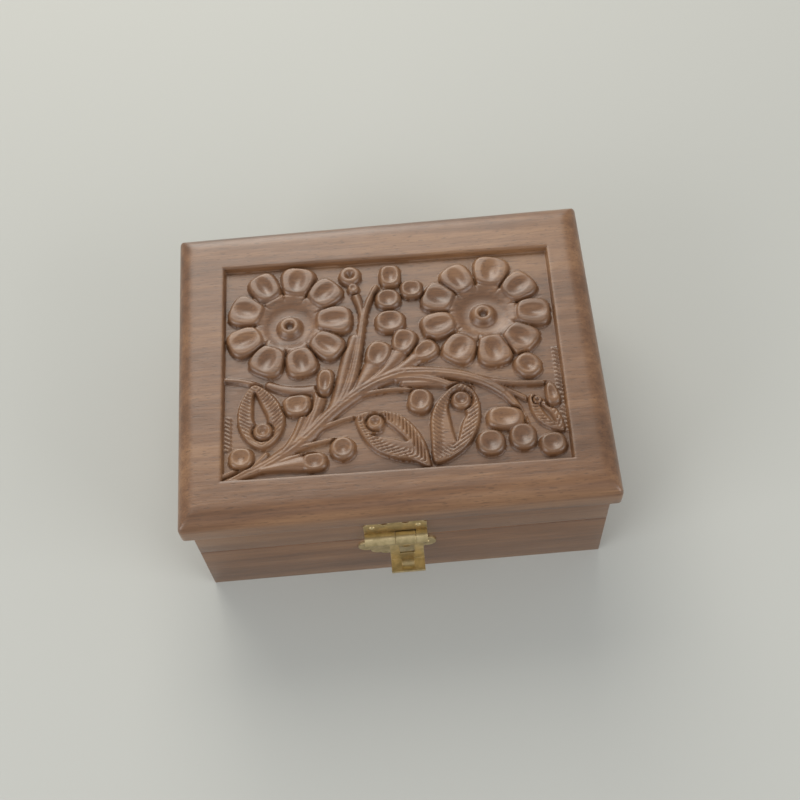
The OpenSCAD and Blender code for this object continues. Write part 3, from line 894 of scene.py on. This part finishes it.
def closed_curve(points: tuple[tuple[float, float], ...], steps: int = 7) -> np.ndarray:
    """Smooth closed curve through points: a Catmull-Rom cubic between each two of them.

    Args:
        points: the points, in order.
        steps: pieces between each two.

    Returns:
        Points along the curve, the first one repeated at the end.
    """
    p = np.array(points, dtype=float)
    t = (np.arange(steps) / steps)[None, :, None]
    a, b, c, d = (np.roll(p, n, axis=0)[:, None] for n in (1, 0, -1, -2))
    curve = b + 0.5 * t * (c - a + t * (2 * a - 5 * b + 4 * c - d + t * (3 * (b - c) + d - a)))
    curve = curve.reshape(-1, 2)
    return np.concatenate([curve, curve[:1]])


def within(line: np.ndarray, reach: float, x: np.ndarray, y: np.ndarray) -> np.ndarray:
    """Which places lie in a line's bounding box, widened by reach."""
    low, high = line.min(axis=0) - reach, line.max(axis=0) + reach
    return (x > low[0]) & (x < high[0]) & (y > low[1]) & (y < high[1])


def to_line(line: np.ndarray, x: np.ndarray, y: np.ndarray) -> tuple[np.ndarray, np.ndarray]:
    """Distance from places to the nearest of a row of straight pieces.

    Args:
        line: the points that the pieces join.
        x, y: places.

    Returns:
        The distance, and the share of the way along the line, from 0 to 1.
    """
    start, step = line[:-1], np.diff(line, axis=0)
    dx, dy = x[:, None] - start[:, 0], y[:, None] - start[:, 1]
    t = np.clip((dx * step[:, 0] + dy * step[:, 1]) / (step ** 2).sum(axis=1), 0, 1)
    away = np.hypot(dx - t * step[:, 0], dy - t * step[:, 1])
    k = away.argmin(axis=1)
    row = np.arange(len(k))
    return away[row, k], (k + t[row, k]) / len(start)


def inwards(outline: np.ndarray, x: np.ndarray, y: np.ndarray) -> np.ndarray:
    """Distance inside a closed outline, negative outside it.

    A place is inside when a ray from it towards +X crosses the outline an odd number of times.

    Args:
        outline: the closed outline, its first point repeated at the end.
        x, y: places.

    Returns:
        The signed distances.
    """
    away, _ = to_line(outline, x, y)
    a, b = outline[:-1], outline[1:]
    spans = (a[:, 1] > y[:, None]) != (b[:, 1] > y[:, None])
    rise = np.where(a[:, 1] == b[:, 1], 1.0, b[:, 1] - a[:, 1])
    meets = a[:, 0] + (y[:, None] - a[:, 1]) * (b[:, 0] - a[:, 0]) / rise
    odd = (spans & (x[:, None] < meets)).sum(axis=1) % 2
    return np.where(odd == 1, away, -away)


def along_line(start: tuple[float, float], end: tuple[float, float], x: np.ndarray,
               y: np.ndarray) -> tuple[np.ndarray, np.ndarray]:
    """Split places into the way along a line and the way to its side.

    Args:
        start, end: the line's ends.
        x, y: places.

    Returns:
        Distance along, and distance to the left.
    """
    length = math.dist(start, end)
    c, s = (end[0] - start[0]) / length, (end[1] - start[1]) / length
    dx, dy = x - start[0], y - start[1]
    return dx * c + dy * s, dy * c - dx * s


# Box


@dataclass
class CarvedLid:
    """The lid board: a rounded moulding, a flat border and the sunk, carved panel."""

    wood: LacqueredHardwood
    carving: Carving = field(default_factory=Carving)
    mould_width: float = 7.0
    mould_drop: float = 5.0
    panel: tuple[float, float] = (119.0, 86.0)
    # The panel was marked out by hand, a little askew and a little off the middle
    panel_turn: float = -1.2
    panel_shift: tuple[float, float] = (1.0, -1.3)
    # Grid lines: how many cross the moulding and the border, where they stand at the panel's wall
    # (outwards positive), and how far apart they are inside it. The border's last line is
    # border_end from the wall
    mould_lines: int = 11
    border_lines: int = 6
    border_end: float = 1.2
    wall_lines: tuple[float, ...] = (0.9, 0.6, 0.35, 0.15, 0.0, -0.15, -0.35, -0.6)
    pitch: float = 0.37
    # The panel's turn fades out from this far outside its wall
    turn_kept: float = 0.6
    # Rounding of the lower edge, the rings of places that it takes, and rounding of the corners
    edge_round: float = 0.5
    round_steps: int = 5
    corner_round: float = 1.6
    # Waves of the worn border: their height, their size and the seed of each. The panel's wall
    # wavers in the same way
    wear: tuple[tuple[float, float, int], ...] = ((0.05, 14.0, 8), (0.03, 4.0, 9))
    waver: tuple[float, float, int] = (0.07, 7.0, 21)
    # Drop of the rounded lip round the panel and where it starts and ends (inwards positive), how
    # far to each side the panel's wall is eased, and reach of the blur that finds hollows, in grid
    # steps
    lip_drop: float = 0.3
    lip_reach: tuple[float, float] = (-1.1, 0.1)
    wall_ease: float = 0.3
    cavity_reach: float = 4.0

    def lines(self, edge: float, panel: float) -> np.ndarray:
        """Grid lines across one direction, dense where the surface turns.

        Args:
            edge: half the lid's size this way.
            panel: half the panel's size this way.

        Returns:
            Places of the lines, from −edge to edge.
        """
        mould = edge - self.mould_width * (1 - np.cos(np.linspace(0, math.pi / 2, self.mould_lines)))
        border = np.linspace(edge - self.mould_width, panel + self.border_end, self.border_lines)[1:]
        wall = panel + np.array(self.wall_lines)
        inner = np.linspace(wall[-1], 0, int(wall[-1] / self.pitch))[1:]
        half = np.concatenate([mould, border, wall, inner])
        return np.concatenate([-half, half[-2::-1]])

    def moulding(self, inset: np.ndarray) -> np.ndarray:
        """Drop of the moulding below the border: a quarter of an oval, width by drop."""
        t = np.clip(1 - inset / self.mould_width, 0, 1)
        return self.mould_drop * (1 - np.sqrt(1 - t ** 2))

    def warped(self, x: np.ndarray, y: np.ndarray,
               edge: tuple[float, float]) -> tuple[np.ndarray, np.ndarray]:
        """Turn and shift the grid where the panel lies, and round the lid's corners in plan.

        The turn fades out across the border. At a corner, a square of side corner_round is drawn
        in to a quarter disc: each place moves along its own ray by its larger share over its
        distance.

        Args:
            x, y: the straight grid.
            edge: half the lid's size each way.

        Returns:
            The new places.
        """
        c, s = math.cos(math.radians(self.panel_turn)), math.sin(math.radians(self.panel_turn))
        fade = [1 - smooth(half + self.turn_kept, rim - self.mould_width, np.abs(v))
                for v, half, rim in ((x, self.panel[0] / 2, edge[0]), (y, self.panel[1] / 2, edge[1]))]
        share = fade[0] * fade[1]
        mx = x + share * (x * c - y * s + self.panel_shift[0] - x)
        my = y + share * (x * s + y * c + self.panel_shift[1] - y)
        p = np.clip((np.abs(mx) - edge[0]) / self.corner_round + 1, 0, 1)
        q = np.clip((np.abs(my) - edge[1]) / self.corner_round + 1, 0, 1)
        pull = 1 - np.maximum(p, q) / np.maximum(np.hypot(p, q), 1e-9)
        return (mx - np.sign(mx) * p * pull * self.corner_round,
                my - np.sign(my) * q * pull * self.corner_round)

    def surface(self, gx: np.ndarray, gy: np.ndarray,
                edge: tuple[float, float]) -> tuple[np.ndarray, np.ndarray]:
        """Work out the lid's top: the moulding, the worn border and the carved panel.

        The border passes into the carving by a cubic ease across the panel's wall. The cavity value
        is the blurred height less the height itself, so that it is positive in hollows.

        Args:
            gx, gy: the straight grid.
            edge: half the lid's size each way.

        Returns:
            The places, with heights from the border, and the cavity values.
        """
        half = (self.panel[0] / 2, self.panel[1] / 2)
        x, y = self.warped(gx, gy, edge)
        drop = np.maximum(self.moulding(edge[0] - np.abs(gx)), self.moulding(edge[1] - np.abs(gy)))
        z = -drop - sum(rise * (noise_field(x, y, size, seed) + 1) for rise, size, seed in self.wear)
        rise, size, seed = self.waver
        waver = rise * noise_field(x, y, size, seed)
        inside = np.minimum(half[0] - np.abs(gx), half[1] - np.abs(gy)) + waver
        layout = self.carving.layout
        relief = self.carving.heights(gx * layout[0] / self.panel[0], gy * layout[1] / self.panel[1])
        wall = smooth(-self.wall_ease, self.wall_ease, inside)
        z = (z - self.lip_drop * smooth(*self.lip_reach, inside)) * (1 - wall) + relief * wall
        cavity = np.where(inside > -1.0, blurred(z, self.cavity_reach) - z, 0.0)
        return np.stack([x, y, z], axis=-1), cavity

    def skirt(self, ring: np.ndarray, square: np.ndarray, edge: tuple[float, float],
              foot: float) -> np.ndarray:
        """Carry the top's rim straight down and round it under by a quarter circle.

        At the angle a of the circle the rim moves inwards by edge_round × (1 − cos a), and its
        height is foot + edge_round × (1 − sin a).

        Args:
            ring: the rim's places.
            square: the same places on the straight grid.
            edge: half the lid's size each way.
            foot: height of the board's underside.

        Returns:
            The places, one ring after another.
        """
        turn = np.linspace(0, math.pi / 2, self.round_steps)[:, None, None]
        inward = -np.sign(square) * (np.abs(np.abs(square) - edge) < 1e-6)
        plan = ring[None] + inward * self.edge_round * (1 - np.cos(turn))
        level = foot + self.edge_round * (1 - np.sin(turn[..., 0])) + np.zeros(len(ring))
        return np.concatenate([plan, level[..., None]], axis=-1).reshape(-1, 3)

    def build(self) -> list[bpy.types.Object]:
        """Make the lid board as one closed skin and dress it.

        Returns:
            The piece.
        """
        low, high = box_mm("lid_board")
        edge = (high[0], high[1])
        gx, gy = np.meshgrid(*(self.lines(e, p / 2) for e, p in zip(edge, self.panel)))
        places, cavity = self.surface(gx, gy, edge)
        rows, columns = gx.shape
        top = (places + [0, 0, high[2]]).reshape(-1, 3)
        number = np.arange(rows * columns).reshape(rows, columns)
        rim = np.concatenate([number[0], number[1:, -1], number[-1, -2::-1], number[-2:0:-1, 0]])
        square = np.stack([gx, gy], axis=-1).reshape(-1, 2)[rim]
        skirt = self.skirt(top[rim, :2], square, edge, low[2])
        count = len(rim)
        around = np.arange(count)
        onward = np.roll(around, -1)
        wall = grid_faces(self.round_steps, count, len(top), closed=True)[:, ::-1]
        join = np.stack([rim, len(top) + around, len(top) + onward, rim[onward]], axis=-1)
        underside = (len(top) + (self.round_steps - 1) * count + around)[::-1][None, :]
        mat = self.wood.material("lid_hardwood", Grain.ALONG_X, (12.0, -38.0, 21.0), carved=True)
        faces = [grid_faces(rows, columns), wall, join, underside]
        piece = new_piece("carved_lid", np.concatenate([top, skirt]), faces, mat, sharp=70.0)
        values = np.concatenate([cavity.ravel(), np.zeros(len(skirt))]).astype(np.float32)
        # The wood paints shade into the carving's hollows from these cavity values
        attribute = piece.data.attributes.new("cavity", "FLOAT", "POINT")
        attribute.data.foreach_set("value", values)
        place(piece, "lid", "lid_board", "carved_lid_wood")
        return [piece]


@dataclass(frozen=True)
class Board:
    """One board of the box: the node it stands for, its body, its grain, and its place in the log."""

    node: str
    body: str
    grain: Grain
    shift: tuple[float, float, float]
    slot: str = "wall_wood"


@dataclass
class Carcass:
    """The tray's and the lid's wall boards and the bottom board, each with eased edges."""

    wood: LacqueredHardwood
    plain: LacqueredHardwood
    ease: float = 0.35
    # The straight stretch of a board starts this far from its ends and has this many sections
    end_stretch: float = 4.0
    sections: int = 25
    # A wall of the lid and the wall of the tray below it share their place in the log
    boards: tuple[Board, ...] = (
        Board("tray_front_board", "tray", Grain.ALONG_X, (3, 20, 14)),
        Board("tray_back_board", "tray", Grain.ALONG_X, (190, 44, 31)),
        Board("tray_left_board", "tray", Grain.ALONG_Y, (410, -35, 22)),
        Board("tray_right_board", "tray", Grain.ALONG_Y, (560, 71, -18)),
        Board("bottom_board", "tray", Grain.ALONG_X, (830, 15, 40), "bottom_wood"),
        Board("lid_front_rim", "lid", Grain.ALONG_X, (3, 20, 14)),
        Board("lid_back_rim", "lid", Grain.ALONG_X, (190, 44, 31)),
        Board("lid_left_rim", "lid", Grain.ALONG_Y, (410, -35, 22)),
        Board("lid_right_rim", "lid", Grain.ALONG_Y, (560, 71, -18)),
    )

    def skin(self, low: np.ndarray, high: np.ndarray) -> tuple[np.ndarray, list[np.ndarray]]:
        """Closed skin of a board with rounded edges, as a section carried along x.

        The section is a rectangle with quarter-round corners. At the distance ease × (1 − sin a)
        from either end it is shrunk by ease × (1 − cos a), which rounds the end edges.

        Args:
            low, high: corners of the board.

        Returns:
            Its points and its faces.
        """
        arc = np.linspace(0, math.pi / 2, 5)
        corner = np.stack([np.cos(arc), np.sin(arc)], axis=-1)
        turns = [np.array([[c, -s], [s, c]]) for c, s in ((1, 0), (0, 1), (-1, 0), (0, -1))]
        signs = np.array([[1, 1], [-1, 1], [-1, -1], [1, -1]])
        middle, half = (low + high) / 2, (high - low) / 2
        inset = self.ease * (1 - np.cos(arc))
        stations = np.concatenate([
            low[0] + self.ease * (1 - np.sin(arc[::-1])),
            np.linspace(low[0] + self.end_stretch, high[0] - self.end_stretch, self.sections),
            high[0] - self.ease * (1 - np.sin(arc)),
        ])
        shrink = np.concatenate([inset[::-1], np.zeros(self.sections), inset])
        section = np.concatenate([
            sign * (half[1:] - self.ease) + self.ease * corner @ turn.T
            for sign, turn in zip(signs, turns)
        ])
        pull = np.sign(section) * np.minimum(shrink[:, None, None], self.ease)
        plane = middle[1:] + section[None] - pull
        along = np.broadcast_to(stations[:, None, None], plane.shape[:2] + (1,))
        points = np.concatenate([along, plane], axis=-1).reshape(-1, 3)
        count = len(section)
        ends = np.stack([np.arange(count)[::-1], (len(stations) - 1) * count + np.arange(count)])
        return points, [grid_faces(len(stations), count, closed=True), ends]

    def build(self) -> list[bpy.types.Object]:
        """Make every board and dress it.

        Returns:
            The pieces.
        """
        pieces = []
        for board in self.boards:
            wood = self.plain if board.slot == "bottom_wood" else self.wood
            mat = wood.material(board.node + "_wood", board.grain, board.shift)
            points, faces = self.skin(*box_mm(board.node))
            piece = new_piece(board.node + "_eased", points, faces, mat)
            place(piece, board.body, board.node, board.slot)
            pieces.append(piece)
        return pieces


@dataclass
class Hardware:
    """The hinges, their screws and the hasp, most of them with their edges broken."""

    sheet: Brass = field(default_factory=Brass)
    wire: Brass = field(default_factory=lambda: Brass(bright="#d6c092", dull="#b09e74", roughness=0.36))
    edge_break: float = 0.12
    # Points closer than this, in millimetres, become one, and so do faces that turn by less than
    # this many degrees
    merge_mm: float = 0.001
    flat: float = 1.0
    # Edges that turn by more than this many degrees are broken, and are shaded sharp
    crease: float = 35.0
    # A bevel folds the large notched faces of these, so their edges stay crisp
    crisp: tuple[str, ...] = ("hinge_tray_leaf", "hinge_lid_leaf", "hasp_stud")

    def soften(self, node: str, mat: bpy.types.Material) -> bpy.types.Object:
        """Copy a node's shape, merge its loose triangles, and break its edges unless it is crisp.

        Args:
            node: the node of the frame.
            mat: its brass.

        Returns:
            The piece.
        """
        source = frame["nodes"][node]
        mesh = source.data.copy()
        # The copy's stored normals belong to the loose triangles, so they go before the merge
        mesh.attributes.remove(mesh.attributes["custom_normal"])
        work = bmesh.new()
        work.from_mesh(mesh)
        bmesh.ops.remove_doubles(work, verts=work.verts, dist=self.merge_mm * MM)
        crisp = node.endswith(self.crisp)
        if not crisp:
            bmesh.ops.dissolve_limit(
                work, angle_limit=math.radians(self.flat), verts=work.verts, edges=work.edges)
        work.to_mesh(mesh)
        work.free()
        mesh.materials.clear()
        mesh.materials.append(mat)
        piece = bpy.data.objects.new(node + "_soft", mesh)
        bpy.context.scene.collection.objects.link(piece)
        mesh.shade_smooth()
        mesh.set_sharp_from_angle(angle=math.radians(self.crease))
        if crisp:
            return piece
        bevel = piece.modifiers.new("edge_break", "BEVEL")
        bevel.width = self.edge_break * MM
        bevel.segments = 2
        bevel.limit_method = "ANGLE"
        bevel.angle_limit = math.radians(self.crease)
        bevel.harden_normals = True
        return piece

    def build(self) -> list[bpy.types.Object]:
        """Dress and soften every brass node.

        Returns:
            The pieces.
        """
        sheet = self.sheet.material("rolled_brass")
        wire = self.wire.material("drawn_brass")
        slots = {row["node"]: row["material_slot"] for row in frame["record"]["subparts"]}
        pieces = []
        for body, nodes in frame["record"]["behaviour"]["bodies"].items():
            for node in nodes:
                if "brass" not in slots[node]:
                    continue
                mat = sheet if slots[node] in ("hinge_brass", "hasp_brass") else wire
                piece = self.soften(node, mat)
                place(piece, body, node, slots[node])
                pieces.append(piece)
        return pieces


# Studio


@dataclass(frozen=True)
class Lamp:
    """A rectangular soft lamp: where it hangs and its size, in millimetres, and its power in watts."""

    name: str
    place: tuple[float, float, float]
    size: tuple[float, float]
    power: float
    colour: str = "#ffffff"


@dataclass
class Studio:
    """Floor, camera and soft light.

    The camera's place and lens are fitted to the photograph. Angles are in degrees, and places in
    millimetres.
    """

    elevation: float = 61.544
    roll: float = 5.415
    yaw: float = -0.451
    aim: tuple[float, float, float] = (0.0, 0.0, 60.0)
    aim_in_view: tuple[float, float, float] = (-4.369, -15.817, 443.035)
    lens: float = 56.38
    # The height on the box that the lamps face
    lit_height: float = 40.0
    lamps: tuple[Lamp, ...] = (
        Lamp("window_behind", (-160, 740, 780), (900, 700), 6.6, "#fffaf0"),
        Lamp("window_low", (-160, 1050, 420), (460, 560), 3.0, "#fffaf0"),
        Lamp("left_softbox", (-720, -480, 400), (600, 600), 3.9),
        Lamp("right_softbox", (720, -480, 400), (600, 600), 3.3),
        Lamp("front_top", (40, -420, 900), (420, 220), 0.3),
    )
    sky: str = "#dcdedd"
    sky_strength: float = 0.6
    floor_half: float = 6000.0

    def camera(self) -> None:
        """Set up the camera.

        The view's forward axis comes from the elevation and the yaw, then the picture is turned by
        the roll. The camera stands where it sees the aim point at aim_in_view: right, down, ahead.
        """
        el, yaw, roll = (math.radians(v) for v in (self.elevation, self.yaw, self.roll))
        ahead = np.array([math.sin(yaw) * math.cos(el), math.cos(yaw) * math.cos(el), -math.sin(el)])
        level = np.array([math.cos(yaw), -math.sin(yaw), 0.0])
        sunk = np.cross(ahead, level)
        right = math.cos(roll) * level + math.sin(roll) * sunk
        down = math.cos(roll) * sunk - math.sin(roll) * level
        stand = np.array(self.aim) - sum(d * a for d, a in zip(self.aim_in_view, (right, down, ahead)))
        data = bpy.data.cameras.new("camera")
        data.lens = self.lens
        data.sensor_width = 36.0
        data.clip_start = 0.01
        view = bpy.data.objects.new("camera", data)
        bpy.context.scene.collection.objects.link(view)
        turned = Matrix([list(row) for row in np.stack([right, -down, -ahead], axis=1)]).to_4x4()
        turned.translation = stand * MM
        view.matrix_world = turned
        bpy.context.scene.camera = view

    def hang(self, lamp: Lamp) -> None:
        """Hang one lamp so that it faces the box.

        Args:
            lamp: the lamp.
        """
        data = bpy.data.lights.new(lamp.name, "AREA")
        data.shape = "RECTANGLE"
        data.size, data.size_y = lamp.size[0] * MM, lamp.size[1] * MM
        data.energy = lamp.power
        data.color = linear(lamp.colour)[:3]
        light = bpy.data.objects.new(lamp.name, data)
        bpy.context.scene.collection.objects.link(light)
        light.location = [v * MM for v in lamp.place]
        away = light.location - Vector((0, 0, self.lit_height * MM))
        light.rotation_euler = away.to_track_quat("Z", "Y").to_euler()

    def build(self) -> None:
        """Set up the camera, the lamps, the world and the floor."""
        self.camera()
        for lamp in self.lamps:
            self.hang(lamp)
        world = bpy.data.worlds.new("studio")
        bpy.context.scene.world = world
        world.use_nodes = True
        tree = world.node_tree
        feed(tree, tree.nodes["Background"], {"Color": linear(self.sky), "Strength": self.sky_strength})
        corners = self.floor_half * np.array([[-1, -1, 0], [1, -1, 0], [1, 1, 0], [-1, 1, 0]])
        floor = new_piece("floor", corners, [np.array([[0, 1, 2, 3]])], Paper().material(), sharp=None)
        bpy.context.scene.view_settings.view_transform = "Standard"


def main() -> None:
    """Build the studio and the box's looks, and report each piece with its face count."""
    logging.basicConfig(level=logging.INFO, format="%(message)s")
    wood = LacqueredHardwood()
    plain = LacqueredHardwood(dark="#63442f", middle="#7f5c44", light="#97745c", coat=0.2)
    Studio().build()
    for part in (CarvedLid(wood), Carcass(wood, plain), Hardware()):
        for piece in part.build():
            LOG.info("%s: %d faces", piece.name, len(piece.data.polygons))


if __name__ == "__main__":
    main()
